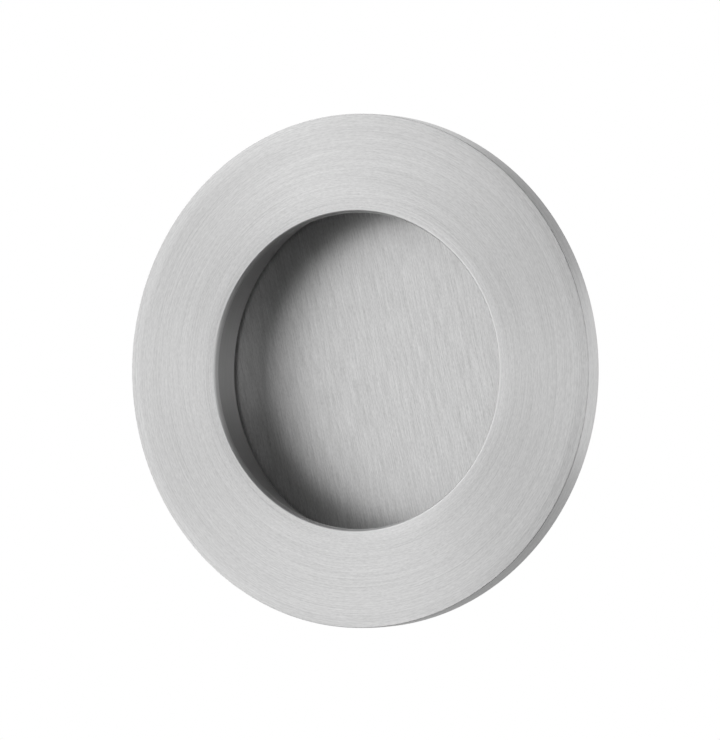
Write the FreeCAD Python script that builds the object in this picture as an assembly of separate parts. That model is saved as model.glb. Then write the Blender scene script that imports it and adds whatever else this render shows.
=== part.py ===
"""Round recessed pull handle for a sliding door: a turned ring with an undercut finger recess,
closed by a flat floor disc that seats in the back of its barrel.

The axis of the handle is the Y axis. The front faces -Y and +Z is up. Y = 0 is the face of the
door: the flange lies in front of it, and the barrel reaches into the door behind it.
All sizes are in millimetres.
"""
import FreeCAD, Part
import os

# Sizes across the axis, from the mouth outwards
MOUTH_DIAMETER = 40.0
UNDERCUT = 2.1
SHADOW_GROOVE_DEPTH = 1.0
SEAT_WIDTH = 0.9
BARREL_WALL = 1.0
FLANGE_OVERHANG = 7.5

# Sizes along the axis
FLANGE_THICKNESS = 3.0
RECESS_DEPTH = 9.2
SHADOW_GROOVE_HEIGHT = 0.5
FLOOR_THICKNESS = 1.5
REAR_RIM = 0.3

# Edges
LIP_ROUNDING = 0.65
FACE_EDGE_ROUNDING = 0.3
FLANGE_BACK_CHAMFER = 0.15
BARREL_LEAD_IN = 0.5
SEAT_CHAMFER = 0.2
FLOOR_EDGE_CHAMFER = 0.2

# Relief in the flange's back, which keeps a burr round the hole in the door off the flange
RELIEF_WIDTH = 1.2
RELIEF_DEPTH = 0.3

# Radial room between the floor disc and its seat
FLOOR_CLEARANCE = 0.05

# Radii and depths that follow from the sizes above
MOUTH_RADIUS = MOUTH_DIAMETER / 2
WALL_FOOT_RADIUS = MOUTH_RADIUS + UNDERCUT
GROOVE_RADIUS = WALL_FOOT_RADIUS + SHADOW_GROOVE_DEPTH
SEAT_RADIUS = GROOVE_RADIUS + SEAT_WIDTH
BARREL_RADIUS = SEAT_RADIUS + BARREL_WALL
FLANGE_RADIUS = BARREL_RADIUS + FLANGE_OVERHANG
FLOOR_RADIUS = SEAT_RADIUS - FLOOR_CLEARANCE
FACE = -FLANGE_THICKNESS
DOOR_FACE = 0.0
FLOOR_FRONT = FACE + RECESS_DEPTH
WALL_FOOT = FLOOR_FRONT - SHADOW_GROOVE_HEIGHT
FLOOR_BACK = FLOOR_FRONT + FLOOR_THICKNESS
BARREL_BACK = FLOOR_BACK + REAR_RIM


def at(radius, depth):
    """A point of a half section: its distance from the axis, and how far it lies behind the door's face."""
    return FreeCAD.Vector(radius, depth, 0.0)


def line(start, end):
    return [Part.LineSegment(start, end).toShape()]


def lines(*points):
    """Straight edges from each point to the next."""
    return [edge for start, end in zip(points, points[1:]) for edge in line(start, end)]


def rounding(start, corner, end):
    """A quarter of a circle from start to end, in place of their square corner."""
    centre = start + end - corner
    outwards = (corner - centre).normalize()
    middle = centre + outwards * (start - centre).Length
    return [Part.Arc(start, middle, end).toShape()]


def turned(edges):
    """The solid that a closed half section sweeps in one turn about the axis."""
    section = Part.Face(Part.Wire(edges))
    return section.revolve(FreeCAD.Vector(0, 0, 0), FreeCAD.Vector(0, 1, 0), 360)


def face_edges(lip, edge):
    """The brushed front face, and the rounding that ends it at the flange's side."""
    edge_side = at(FLANGE_RADIUS, FACE + FACE_EDGE_ROUNDING)
    return line(lip, edge) + rounding(edge, at(FLANGE_RADIUS, FACE), edge_side)


def flange_back_edges():
    """The flange's side, its broken back edge, and its back face with the relief beside the barrel."""
    relief_radius = BARREL_RADIUS + RELIEF_WIDTH
    relief_bottom = DOOR_FACE - RELIEF_DEPTH
    return lines(
        at(FLANGE_RADIUS, FACE + FACE_EDGE_ROUNDING),
        at(FLANGE_RADIUS, DOOR_FACE - FLANGE_BACK_CHAMFER),
        at(FLANGE_RADIUS - FLANGE_BACK_CHAMFER, DOOR_FACE),
        at(relief_radius, DOOR_FACE),
        at(relief_radius, relief_bottom),
        at(BARREL_RADIUS, relief_bottom),
    )


def barrel_edges():
    """The barrel's outside with its lead-in, and the counterbore that takes the floor disc."""
    return lines(
        at(BARREL_RADIUS, DOOR_FACE - RELIEF_DEPTH),
        at(BARREL_RADIUS, BARREL_BACK - BARREL_LEAD_IN),
        at(BARREL_RADIUS - BARREL_LEAD_IN, BARREL_BACK),
        at(SEAT_RADIUS + SEAT_CHAMFER, BARREL_BACK),
        at(SEAT_RADIUS, BARREL_BACK - SEAT_CHAMFER),
        at(SEAT_RADIUS, FLOOR_FRONT),
        at(GROOVE_RADIUS, FLOOR_FRONT),
    )


def finger_wall_edges(lip):
    """The shadow groove above the floor, the wall that flares behind the mouth, and the rounded lip."""
    mouth = at(MOUTH_RADIUS, FACE + LIP_ROUNDING)
    inside = lines(
        at(GROOVE_RADIUS, FLOOR_FRONT),
        at(GROOVE_RADIUS, WALL_FOOT),
        at(WALL_FOOT_RADIUS, WALL_FOOT),
        mouth,
    )
    return inside + rounding(mouth, at(MOUTH_RADIUS, FACE), lip)


def pull_ring():
    """Flange, barrel and finger wall, turned from one blank."""
    lip = at(MOUTH_RADIUS + LIP_ROUNDING, FACE)
    edge = at(FLANGE_RADIUS - FACE_EDGE_ROUNDING, FACE)
    return turned(face_edges(lip, edge) + flange_back_edges() + barrel_edges() + finger_wall_edges(lip))


def floor_disc():
    """The flat floor of the recess, cut from sheet, with its back edge broken to enter the seat."""
    return turned(lines(
        at(0.0, FLOOR_FRONT),
        at(FLOOR_RADIUS, FLOOR_FRONT),
        at(FLOOR_RADIUS, FLOOR_BACK - FLOOR_EDGE_CHAMFER),
        at(FLOOR_RADIUS - FLOOR_EDGE_CHAMFER, FLOOR_BACK),
        at(0.0, FLOOR_BACK),
        at(0.0, FLOOR_FRONT),
    ))


PIECES = {
    "pull_ring": pull_ring,
    "floor_disc": floor_disc,
}

os.makedirs("parts", exist_ok=True)
for node, make in PIECES.items():
    make().exportStep(f"parts/{node}.step")
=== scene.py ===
"""The looks of a round recessed pull handle: satin steel, seen from the front and a little from the right.

The handle's axis is Y, its front faces -Y and +Z is up. All lengths are in metres.
"""

import math

import bpy
from mathutils import Matrix, Vector


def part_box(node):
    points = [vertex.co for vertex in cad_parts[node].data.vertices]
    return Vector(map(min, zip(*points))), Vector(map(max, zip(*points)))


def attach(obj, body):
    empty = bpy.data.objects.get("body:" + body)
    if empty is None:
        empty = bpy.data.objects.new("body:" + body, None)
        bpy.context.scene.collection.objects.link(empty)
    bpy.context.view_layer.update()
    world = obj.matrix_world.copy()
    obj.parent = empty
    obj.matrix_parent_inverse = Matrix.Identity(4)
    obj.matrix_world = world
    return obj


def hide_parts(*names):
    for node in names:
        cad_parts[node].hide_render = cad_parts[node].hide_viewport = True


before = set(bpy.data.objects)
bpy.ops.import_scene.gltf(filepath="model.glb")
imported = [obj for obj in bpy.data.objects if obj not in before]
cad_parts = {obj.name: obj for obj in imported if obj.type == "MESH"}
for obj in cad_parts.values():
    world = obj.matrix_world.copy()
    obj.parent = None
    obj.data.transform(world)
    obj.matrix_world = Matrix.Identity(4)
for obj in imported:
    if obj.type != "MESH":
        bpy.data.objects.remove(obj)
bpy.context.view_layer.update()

MM = 0.001

# Sizes of the turned section, which the boxes of the two solids complete
MOUTH_RADIUS = 20.0 * MM
WALL_FOOT_RADIUS = 22.1 * MM
GROOVE_RADIUS = 23.1 * MM
BARREL_RADIUS = 25.0 * MM
SHADOW_GROOVE_HEIGHT = 0.5 * MM
BARREL_LEAD_IN = 0.5 * MM
RELIEF_WIDTH = 1.2 * MM
RELIEF_DEPTH = 0.3 * MM
SEAT_CHAMFER = 0.2 * MM
FLOOR_CLEARANCE = 0.05 * MM
DOOR_FACE = 0.0

# The lip is a small bevel between two corners, of which the inner is soft and the outer is crisp.
# Widths are counted outwards from the mouth, and depths back from the face.
LIP_INNER_WIDTH = 0.09 * MM
LIP_INNER_DEPTH = 0.23 * MM
LIP_INNER_ROUNDING = 0.60 * MM
LIP_OUTER_WIDTH = 0.32 * MM
LIP_OUTER_DEPTH = 0.05 * MM
LIP_OUTER_ROUNDING = 0.20 * MM
LIP_BORDER = 0.20 * MM
WALL_TOP_DEPTH = 0.65 * MM

# Brushing leaves the face and the side a little low where they near an edge
ROLL_WIDTH = 1.4 * MM
ROLL_DROP = 0.06 * MM
ROLL_ROUNDING = 12.0 * MM

# Roundings of the other edges
FACE_EDGE_ROUNDING = 0.10 * MM
BACK_EDGE_ROUNDING = 0.15 * MM
FLOOR_EDGE_ROUNDING = 0.2 * MM
FINE_EDGE = 0.05 * MM

# Fineness of the meshes
SEGMENTS = 384
ARC_STEPS = 8
FINE_EDGE_STEPS = 2
SUPPORT_DISTANCE = 0.03 * MM
LONG_RUN = 4 * SUPPORT_DISTANCE
SAME_PLACE = 0.001 * MM

# Finishes, numbered in the order of each piece's materials: four on the ring, and one on the floor
# The bored finish paints the shade of the recess into its darker grey
BRUSHED, POLISHED, TURNED, BORED_WITH_PAINTED_SHADE = 0, 1, 2, 3
SHEET = 0

# Grain, as layers of (line width, line length, share of the whole)
BRUSHING = [(0.14 * MM, 11.0 * MM, 0.40), (0.14 * MM, 0.45 * MM, 0.50), (1.2 * MM, 16.0 * MM, 0.10)]
TURNING = [(0.14 * MM, 14.0 * MM, 0.70), (0.14 * MM, 1.5 * MM, 0.20), (1.0 * MM, 20.0 * MM, 0.10)]
GRAINING = [(0.14 * MM, 3.2 * MM, 0.42), (0.14 * MM, 0.5 * MM, 0.36), (0.6 * MM, 7.0 * MM, 0.22)]
FLOOR_GRAIN_TILT = math.radians(-13.5)

# Noise that draws the grain, the range that most of it keeps to, and how far it moves the roughness
GRAIN_DETAIL = 2.0
GRAIN_ROUGHNESS = 0.6
GRAIN_RANGE = (0.25, 0.75)
ROUGHNESS_SWING = 0.04

# Longer scratches among the grain, only where their noise is highest
SCRATCH_WIDTH = 0.25 * MM
SCRATCH_LENGTH = 22.0 * MM
SCRATCH_DETAIL = 1.0
SCRATCH_ROUGHNESS = 0.5
SCRATCH_RANGE = (0.66, 0.74)

# Camera, fitted to the circles of the handle. Blender counts the lens and the sensor in millimetres.
CAMERA_AZIMUTH = 27.26
CAMERA_ELEVATION = -0.20
CAMERA_PLACE = Vector((-0.67 * MM, 0.11 * MM, 604.2 * MM))
CAMERA_CLIP = 10.0 * MM
CAMERA_LENS = 231.9
CAMERA_SENSOR = 36.0

# Studio: angles are in degrees, and an azimuth is counted from the front towards the right
CARD_DISTANCE = 0.90
CARD_STEP = 6.0
LAMP_DISTANCE = 0.85
STUDIO_FLOOR_LEVEL = -1.0
STUDIO_FLOOR_SIZE = 6.0
STUDIO_FLOOR_GREY = 0.80
STUDIO_FLOOR_GLOW = 0.40
WHITE = 1.0
BLACK = 0.0


def rounded(corner, before, after, size):
    """Points of an arc that rounds the corner between two straight runs, tangent to both."""
    to_before = (before - corner).normalized()
    to_after = (after - corner).normalized()
    half_turn = to_before.angle(to_after) / 2
    reach = size / math.tan(half_turn)
    centre = corner + (to_before + to_after).normalized() * (size / math.sin(half_turn))
    start = corner + to_before * reach - centre
    end = corner + to_after * reach - centre
    sweep = math.atan2(start.x * end.y - start.y * end.x, start.dot(end))
    steps = FINE_EDGE_STEPS if size <= FINE_EDGE else ARC_STEPS
    points = []
    for step in range(steps + 1):
        turn = Matrix.Rotation(sweep * step / steps, 2)
        points.append(centre + turn @ start)
    return points


def section(corners):
    """The outline of a half section, as points with the finish of the run that starts there.

    A corner is (radius, depth, rounding, finish), and a rounding of 0 leaves it sharp.
    """
    places = [Vector((radius, depth)) for radius, depth, _, _ in corners]
    outline = []
    for index, (_, _, size, finish) in enumerate(corners):
        corner = places[index]
        if size:
            before = places[index - 1]
            after = places[(index + 1) % len(corners)]
            outline.extend((point, finish) for point in rounded(corner, before, after, size))
        else:
            outline.append((corner, finish))
    return [
        (point, finish) for index, (point, finish) in enumerate(outline)
        if (point - outline[index - 1][0]).length > SAME_PLACE
    ]


def with_support(outline):
    """The outline with extra points close to both ends of its long runs, which keep flat runs shaded flat."""
    points = []
    for index, (start, finish) in enumerate(outline):
        end = outline[(index + 1) % len(outline)][0]
        points.append((start, finish))
        if (end - start).length > LONG_RUN:
            along = (end - start).normalized() * SUPPORT_DISTANCE
            points.append((start + along, finish))
            points.append((end - along, finish))
    return points


def distances_along(outline):
    """How far along the closed outline each point lies, and last the length of the whole."""
    along = [0.0]
    for index, (point, _) in enumerate(outline):
        after = outline[(index + 1) % len(outline)][0]
        along.append(along[-1] + (after - point).length)
    return along


def turned_vertices(outline):
    """The vertices of the outline turned about the Y axis, and their numbers at each step of the turn.

    A point on the axis is one vertex, which every step shares.
    """
    vertices = []
    rows = []
    for step in range(SEGMENTS):
        angle = 2 * math.pi * step / SEGMENTS
        row = []
        for index, (point, _) in enumerate(outline):
            if point.x < SAME_PLACE and step:
                row.append(rows[0][index])
            else:
                row.append(len(vertices))
                vertices.append((point.x * math.cos(angle), point.y, point.x * math.sin(angle)))
        rows.append(row)
    return vertices, rows


def turned_faces(outline, rows):
    """The faces between the steps of the turn, their finishes, and the UV places of their corners.

    A place runs along the section in u and round the axis in v. A face on the axis is a triangle or none.
    """
    along = distances_along(outline)
    faces = []
    finishes = []
    places = []
    for step, row in enumerate(rows):
        beyond = rows[(step + 1) % SEGMENTS]
        low, high = step / SEGMENTS, (step + 1) / SEGMENTS
        for index, (_, finish) in enumerate(outline):
            after = (index + 1) % len(outline)
            loop = [
                (row[index], along[index], low),
                (row[after], along[index + 1], low),
                (beyond[after], along[index + 1], high),
                (beyond[index], along[index], high),
            ]
            kept = [corner for spot, corner in enumerate(loop) if corner[0] != loop[spot - 1][0]]
            if len(kept) > 2:
                faces.append([vertex for vertex, _, _ in kept])
                finishes.append(finish)
                places.extend((u, v) for _, u, v in kept)
    return faces, finishes, places


def placed(name, data):
    """A new object in the scene."""
    thing = bpy.data.objects.new(name, data)
    bpy.context.scene.collection.objects.link(thing)
    return thing


def turned(name, corners):
    """A piece that turns a closed half section about the Y axis."""
    outline = with_support(section(corners))
    vertices, rows = turned_vertices(outline)
    faces, finishes, places = turned_faces(outline, rows)
    mesh = bpy.data.meshes.new(name)
    mesh.from_pydata(vertices, [], faces)
    mesh.polygons.foreach_set("material_index", finishes)
    uv = mesh.uv_layers.new(name="grain")
    for loop, place in zip(uv.data, places):
        loop.uv = place
    mesh.shade_smooth()
    mesh.update()
    return placed(name, mesh)


def lip_corners(face):
    """The lip's bevel, and the end of its smooth border, on the straight run up to the face."""
    outer = MOUTH_RADIUS + LIP_OUTER_WIDTH
    border_depth = LIP_OUTER_DEPTH * (1 - LIP_BORDER / (ROLL_WIDTH - LIP_OUTER_WIDTH))
    return [
        (MOUTH_RADIUS + LIP_INNER_WIDTH, face + LIP_INNER_DEPTH, LIP_INNER_ROUNDING, POLISHED),
        (outer, face + LIP_OUTER_DEPTH, LIP_OUTER_ROUNDING, POLISHED),
        (outer + LIP_BORDER, face + border_depth, 0.0, BRUSHED),
    ]


def face_corners(face, flange):
    """The front face and the flange's side, with the edge between them."""
    return [
        (MOUTH_RADIUS + ROLL_WIDTH, face, ROLL_ROUNDING, BRUSHED),
        (flange - ROLL_WIDTH, face, ROLL_ROUNDING, BRUSHED),
        (flange - ROLL_DROP, face + ROLL_DROP, FACE_EDGE_ROUNDING, BRUSHED),
        (flange, face + ROLL_WIDTH, ROLL_ROUNDING, BRUSHED),
    ]


def back_corners(flange, back, seat, floor):
    """The flange's back with its relief, the barrel, and the counterbore that takes the floor."""
    relief_radius = BARREL_RADIUS + RELIEF_WIDTH
    relief_bottom = DOOR_FACE - RELIEF_DEPTH
    return [
        (flange, DOOR_FACE, BACK_EDGE_ROUNDING, TURNED),
        (relief_radius, DOOR_FACE, FINE_EDGE, TURNED),
        (relief_radius, relief_bottom, FINE_EDGE, TURNED),
        (BARREL_RADIUS, relief_bottom, FINE_EDGE, TURNED),
        (BARREL_RADIUS, back - BARREL_LEAD_IN, FINE_EDGE, TURNED),
        (BARREL_RADIUS - BARREL_LEAD_IN, back, FINE_EDGE, TURNED),
        (seat + SEAT_CHAMFER, back, FINE_EDGE, TURNED),
        (seat, back - SEAT_CHAMFER, FINE_EDGE, TURNED),
        (seat, floor, FINE_EDGE, TURNED),
    ]


def wall_corners(face, floor):
    """The shadow groove above the floor, and the finger wall, which flares behind the mouth."""
    foot = floor - SHADOW_GROOVE_HEIGHT
    return [
        # The groove and the finger wall take the bored finish, whose darker grey is painted shade
        (GROOVE_RADIUS, floor, FINE_EDGE, BORED_WITH_PAINTED_SHADE),
        (GROOVE_RADIUS, foot, FINE_EDGE, BORED_WITH_PAINTED_SHADE),
        (WALL_FOOT_RADIUS, foot, FINE_EDGE, BORED_WITH_PAINTED_SHADE),
        (MOUTH_RADIUS, face + WALL_TOP_DEPTH, 0.0, POLISHED),
    ]


def ring_corners():
    """The ring's half section, from the lip over the face, round the back and up the finger wall."""
    low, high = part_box("pull_ring")
    disc_low, disc_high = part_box("floor_disc")
    face = low.y
    flange = high.x
    floor = disc_low.y
    seat = disc_high.x + FLOOR_CLEARANCE
    front = lip_corners(face) + face_corners(face, flange)
    return front + back_corners(flange, high.y, seat, floor) + wall_corners(face, floor)


def disc_corners():
    """The floor's half section, from the middle of its front to the middle of its back."""
    low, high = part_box("floor_disc")
    return [
        (0.0, low.y, 0.0, SHEET),
        (high.x, low.y, FINE_EDGE, SHEET),
        (high.x, high.y, FLOOR_EDGE_ROUNDING, SHEET),
        (0.0, high.y, 0.0, SHEET),
    ]


def lay_straight_grain(piece):
    """Lays the UV map flat, with u across the grain and v along it."""
    turn = Matrix.Rotation(FLOOR_GRAIN_TILT, 2)
    mesh = piece.data
    uv = mesh.uv_layers["grain"]
    for loop, place in zip(mesh.loops, uv.data):
        x, _, z = mesh.vertices[loop.vertex_index].co
        place.uv = turn @ Vector((x, z))


class Nodes:
    """A new material, whose nodes are added a call at a time."""

    def __init__(self, name):
        self.material = bpy.data.materials.new(name)
        self.material.use_nodes = True
        self.tree = self.material.node_tree
        self.shader = self.tree.nodes["Principled BSDF"].inputs

    def add(self, kind, inputs=(), **settings):
        """Adds a node, with its inputs by name or number and its own settings by name."""
        node = self.tree.nodes.new(kind)
        for name, value in settings.items():
            setattr(node, name, value)
        for name, value in dict(inputs).items():
            self.feed(node.inputs[name], value)
        return node

    def feed(self, socket, value):
        """Links a socket to another node's output, or sets it to a plain value."""
        if isinstance(value, bpy.types.NodeSocket):
            self.tree.links.new(value, socket)
        else:
            socket.default_value = value

    def math(self, operation, first, second):
        return self.add("ShaderNodeMath", {0: first, 1: second}, operation=operation).outputs[0]

    def join(self, x, y, z):
        return self.add("ShaderNodeCombineXYZ", {"X": x, "Y": y, "Z": z}).outputs[0]

    def split(self, vector):
        return self.add("ShaderNodeSeparateXYZ", {0: vector}).outputs

    def noise(self, vector, detail, roughness):
        inputs = {"Vector": vector, "Scale": 1.0, "Detail": detail, "Roughness": roughness}
        return self.add("ShaderNodeTexNoise", inputs).outputs["Fac"]

    def spread(self, value, span, first, last):
        """Runs from first to last as the value runs over the span, and stays there beyond it."""
        inputs = {"Value": value, "From Min": span[0], "From Max": span[1], "To Min": first, "To Max": last}
        return self.add("ShaderNodeMapRange", inputs).outputs["Result"]


class RoundGrain:
    """Places for noise whose lines run round the axis, on every face that was turned.

    A line has its full length at the mouth, and grows with the radius.
    """

    def __init__(self, nodes):
        self.nodes = nodes
        place = nodes.split(nodes.add("ShaderNodeTexCoord").outputs["Object"])
        flat = nodes.join(place["X"], 0.0, place["Z"])
        radius = nodes.add("ShaderNodeVectorMath", {0: flat}, operation="LENGTH").outputs["Value"]
        self.across = nodes.math("ADD", radius, place["Y"])
        around = nodes.add("ShaderNodeVectorMath", {0: flat}, operation="NORMALIZE").outputs["Vector"]
        self.around = nodes.split(around)

    def lines(self, width, length):
        nodes = self.nodes
        turns = MOUTH_RADIUS / length
        x = nodes.math("MULTIPLY", self.around["X"], turns)
        z = nodes.math("MULTIPLY", self.around["Z"], turns)
        return nodes.join(x, nodes.math("DIVIDE", self.across, width), z)


class StraightGrain:
    """Places for noise whose lines run along the sheet's grain."""

    def __init__(self, nodes):
        self.nodes = nodes
        self.place = nodes.split(nodes.add("ShaderNodeUVMap", uv_map="grain").outputs["UV"])

    def lines(self, width, length):
        nodes = self.nodes
        across = nodes.math("DIVIDE", self.place["X"], width)
        return nodes.join(across, nodes.math("DIVIDE", self.place["Y"], length), 0.0)


def grain_height(nodes, grain, layers):
    """The height of the grain, as the sum of its layers."""
    height = 0.0
    for width, length, share in layers:
        noise = nodes.noise(grain.lines(width, length), GRAIN_DETAIL, GRAIN_ROUGHNESS)
        height = nodes.math("ADD", height, nodes.math("MULTIPLY", noise, share))
    return height


def scratched(nodes, grain, tone, depth):
    """The tone, darker by a share of itself in a few longer scratches."""
    marks = nodes.noise(grain.lines(SCRATCH_WIDTH, SCRATCH_LENGTH), SCRATCH_DETAIL, SCRATCH_ROUGHNESS)
    return nodes.math("MULTIPLY", tone, nodes.spread(marks, SCRATCH_RANGE, 1.0, 1.0 - depth))


def steel(name, kind, layers, grey, shade, roughness, anisotropy, relief, scratches=0.0):
    """Satin steel. Its grain moves the grey by up to the shade either way, and is as deep as the relief."""
    nodes = Nodes(name)
    grain = kind(nodes)
    height = grain_height(nodes, grain, layers)
    tone = nodes.spread(height, GRAIN_RANGE, grey - shade, grey + shade)
    if scratches:
        tone = scratched(nodes, grain, tone, scratches)
    colour = nodes.add("ShaderNodeCombineColor", {"Red": tone, "Green": tone, "Blue": tone})
    gloss = nodes.spread(height, GRAIN_RANGE, roughness - ROUGHNESS_SWING, roughness + ROUGHNESS_SWING)
    bump = nodes.add("ShaderNodeBump", {"Strength": 1.0, "Distance": relief, "Height": height})
    tangent = nodes.add("ShaderNodeTangent", direction_type="UV_MAP", uv_map="grain")
    nodes.feed(nodes.shader["Metallic"], 1.0)
    nodes.feed(nodes.shader["Anisotropic"], anisotropy)
    nodes.feed(nodes.shader["Base Color"], colour.outputs["Color"])
    nodes.feed(nodes.shader["Roughness"], gloss)
    nodes.feed(nodes.shader["Normal"], bump.outputs["Normal"])
    nodes.feed(nodes.shader["Tangent"], tangent.outputs["Tangent"])
    return nodes.material


def brushed_steel():
    """The face and the flange's side: fine lines round the axis, with a few longer scratches."""
    return steel("brushed_steel", RoundGrain, BRUSHING, grey=0.68, shade=0.16, roughness=0.44,
                 anisotropy=0.77, relief=0.001 * MM, scratches=0.10)


def polished_steel():
    """The lip, whose grain is the faintest."""
    return steel("polished_steel", RoundGrain, TURNING, grey=0.67, shade=0.06, roughness=0.44,
                 anisotropy=0.50, relief=0.0004 * MM)


def turned_steel():
    """The back and the barrel, as the lathe left them."""
    return steel("turned_steel", RoundGrain, TURNING, grey=0.64, shade=0.10, roughness=0.49,
                 anisotropy=0.70, relief=0.0008 * MM)


def bored_steel_painted_shade():
    """The finger wall and the shadow groove: turned grain on a grey lowered to paint in the shade of the
    recess.
    """
    return steel("bored_steel_painted_shade", RoundGrain, TURNING, grey=0.44, shade=0.08, roughness=0.49,
                 anisotropy=0.70, relief=0.0008 * MM)


def sheet_steel():
    """The floor, whose grain is straight and the strongest."""
    return steel("sheet_steel", StraightGrain, GRAINING, grey=0.66, shade=0.23, roughness=0.40,
                 anisotropy=0.54, relief=0.001 * MM)


def dress(piece, node, slot, *materials):
    """Gives a piece its materials, hangs it under the root body and hides the solid that it replaces. Nothing
    reads the slot.
    """
    for material in materials:
        piece.data.materials.append(material)
    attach(piece, "root")
    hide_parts(node)


def build_ring():
    ring = turned("turned_ring", ring_corners())
    dress(ring, "pull_ring", "ring_steel", brushed_steel(), polished_steel(), turned_steel(), bored_steel_painted_shade())


def build_disc():
    disc = turned("straight_grained_floor", disc_corners())
    lay_straight_grain(disc)
    dress(disc, "floor_disc", "floor_steel", sheet_steel())


def towards(azimuth, elevation):
    """The direction from the handle to a place in the studio."""
    turn, lift = math.radians(azimuth), math.radians(elevation)
    return Vector((math.sin(turn) * math.cos(lift), -math.cos(turn) * math.cos(lift), math.sin(lift)))


def face_handle(thing, azimuth, elevation, place):
    """Turns something to face the handle from a direction. Its place is counted to its right, up and back."""
    back = towards(azimuth, elevation)
    right = towards(azimuth + 90.0, 0.0)
    axes = Matrix((right, back.cross(right), back)).transposed()
    thing.matrix_world = Matrix.Translation(axes @ place) @ axes.to_4x4()


def build_camera():
    data = bpy.data.cameras.new("camera")
    data.lens = CAMERA_LENS
    data.sensor_width = CAMERA_SENSOR
    data.clip_start = CAMERA_CLIP
    camera = placed("camera", data)
    face_handle(camera, CAMERA_AZIMUTH, CAMERA_ELEVATION, CAMERA_PLACE)
    bpy.context.scene.camera = camera


def build_world():
    """A white room."""
    world = bpy.data.worlds.new("studio")
    bpy.context.scene.world = world
    world.use_nodes = True
    background = world.node_tree.nodes["Background"].inputs
    background["Color"].default_value = (WHITE, WHITE, WHITE, 1.0)
    background["Strength"].default_value = 1.0


def build_lamp(name, azimuth, elevation, half_width, half_height, brightness):
    """A soft box. Its sizes are angles seen from the handle, and a brightness of 1 is that of white."""
    data = bpy.data.lights.new(name, "AREA")
    data.shape = "RECTANGLE"
    data.size = 2 * LAMP_DISTANCE * math.tan(math.radians(half_width))
    data.size_y = 2 * LAMP_DISTANCE * math.tan(math.radians(half_height))
    data.energy = brightness * math.pi * data.size * data.size_y
    lamp = placed(name, data)
    lamp.visible_camera = False
    face_handle(lamp, azimuth, elevation, Vector((0.0, 0.0, LAMP_DISTANCE)))


def matt(name, grey, glow):
    """The nodes of a material without gloss, with the grey of its surface and that of its glow."""
    nodes = Nodes(name)
    nodes.feed(nodes.shader["Base Color"], (grey, grey, grey, 1.0))
    nodes.feed(nodes.shader["Specular IOR Level"], 0.0)
    nodes.feed(nodes.shader["Emission Color"], (glow, glow, glow, 1.0))
    nodes.feed(nodes.shader["Emission Strength"], 1.0)
    return nodes


def spaced(span):
    """Angles from one end of the span to the other, about a card's step apart."""
    count = round((span[1] - span[0]) / CARD_STEP)
    return [span[0] + (span[1] - span[0]) * step / count for step in range(count + 1)]


def build_card(name, azimuths, elevations, grey):
    """A card that gives the metal something darker to reflect: a piece of a ball round the handle."""
    across, upwards = spaced(azimuths), spaced(elevations)
    corners = [towards(azimuth, elevation) * CARD_DISTANCE for elevation in upwards for azimuth in across]
    faces = []
    for row in range(len(upwards) - 1):
        for column in range(len(across) - 1):
            first = row * len(across) + column
            above = first + len(across)
            faces.append((first, first + 1, above + 1, above))
    mesh = bpy.data.meshes.new(name)
    mesh.from_pydata(corners, [], faces)
    mesh.materials.append(matt(name, BLACK, grey).material)
    card = placed(name, mesh)
    card.visible_camera = False


def build_lights():
    """Cards on the camera's side, above, below and behind the front, and two soft lamps."""
    build_card("dark_front", azimuths=(-13.0, 62.0), elevations=(-90.0, 84.0), grey=0.04)
    build_card("grey_side", azimuths=(62.0, 96.0), elevations=(-90.0, 84.0), grey=0.38)
    build_card("dark_top", azimuths=(-100.0, -13.0), elevations=(54.0, 80.0), grey=0.10)
    build_card("dark_bottom", azimuths=(-100.0, -13.0), elevations=(-90.0, -39.0), grey=0.10)
    build_card("grey_back_top", azimuths=(96.0, 182.0), elevations=(22.0, 84.0), grey=0.50)
    build_card("grey_back_bottom", azimuths=(96.0, 260.0), elevations=(-90.0, -22.0), grey=0.50)
    build_lamp("soft_box", azimuth=-57.9, elevation=12.0, half_width=21.8, half_height=38.0, brightness=0.71)
    build_lamp("camera_lamp", azimuth=37.8, elevation=0.0, half_width=12.3, half_height=15.2, brightness=2.05)


def seen_or_reflected(nodes):
    """1 for what is seen, straight or in metal or through glass, and 0 for the light on other things."""
    path = nodes.add("ShaderNodeLightPath").outputs
    seen = nodes.math("MAXIMUM", path["Is Camera Ray"], path["Is Glossy Ray"])
    return nodes.math("MAXIMUM", seen, path["Is Transmission Ray"])


def build_studio_floor():
    """A pale floor. What it lacks of white is added where it is seen, so that it still takes a shadow."""
    half = STUDIO_FLOOR_SIZE / 2
    corners = [(-half, -half), (half, -half), (half, half), (-half, half)]
    mesh = bpy.data.meshes.new("floor")
    mesh.from_pydata([(x, y, STUDIO_FLOOR_LEVEL) for x, y in corners], [], [(0, 1, 2, 3)])
    nodes = matt("pale_floor", STUDIO_FLOOR_GREY, WHITE)
    nodes.feed(nodes.shader["Roughness"], 1.0)
    glow = nodes.math("MULTIPLY", seen_or_reflected(nodes), STUDIO_FLOOR_GLOW)
    nodes.feed(nodes.shader["Emission Strength"], glow)
    mesh.materials.append(nodes.material)
    placed("floor", mesh)


build_ring()
build_disc()
build_camera()
build_world()
build_lights()
build_studio_floor()
bpy.context.scene.view_settings.view_transform = "Standard"
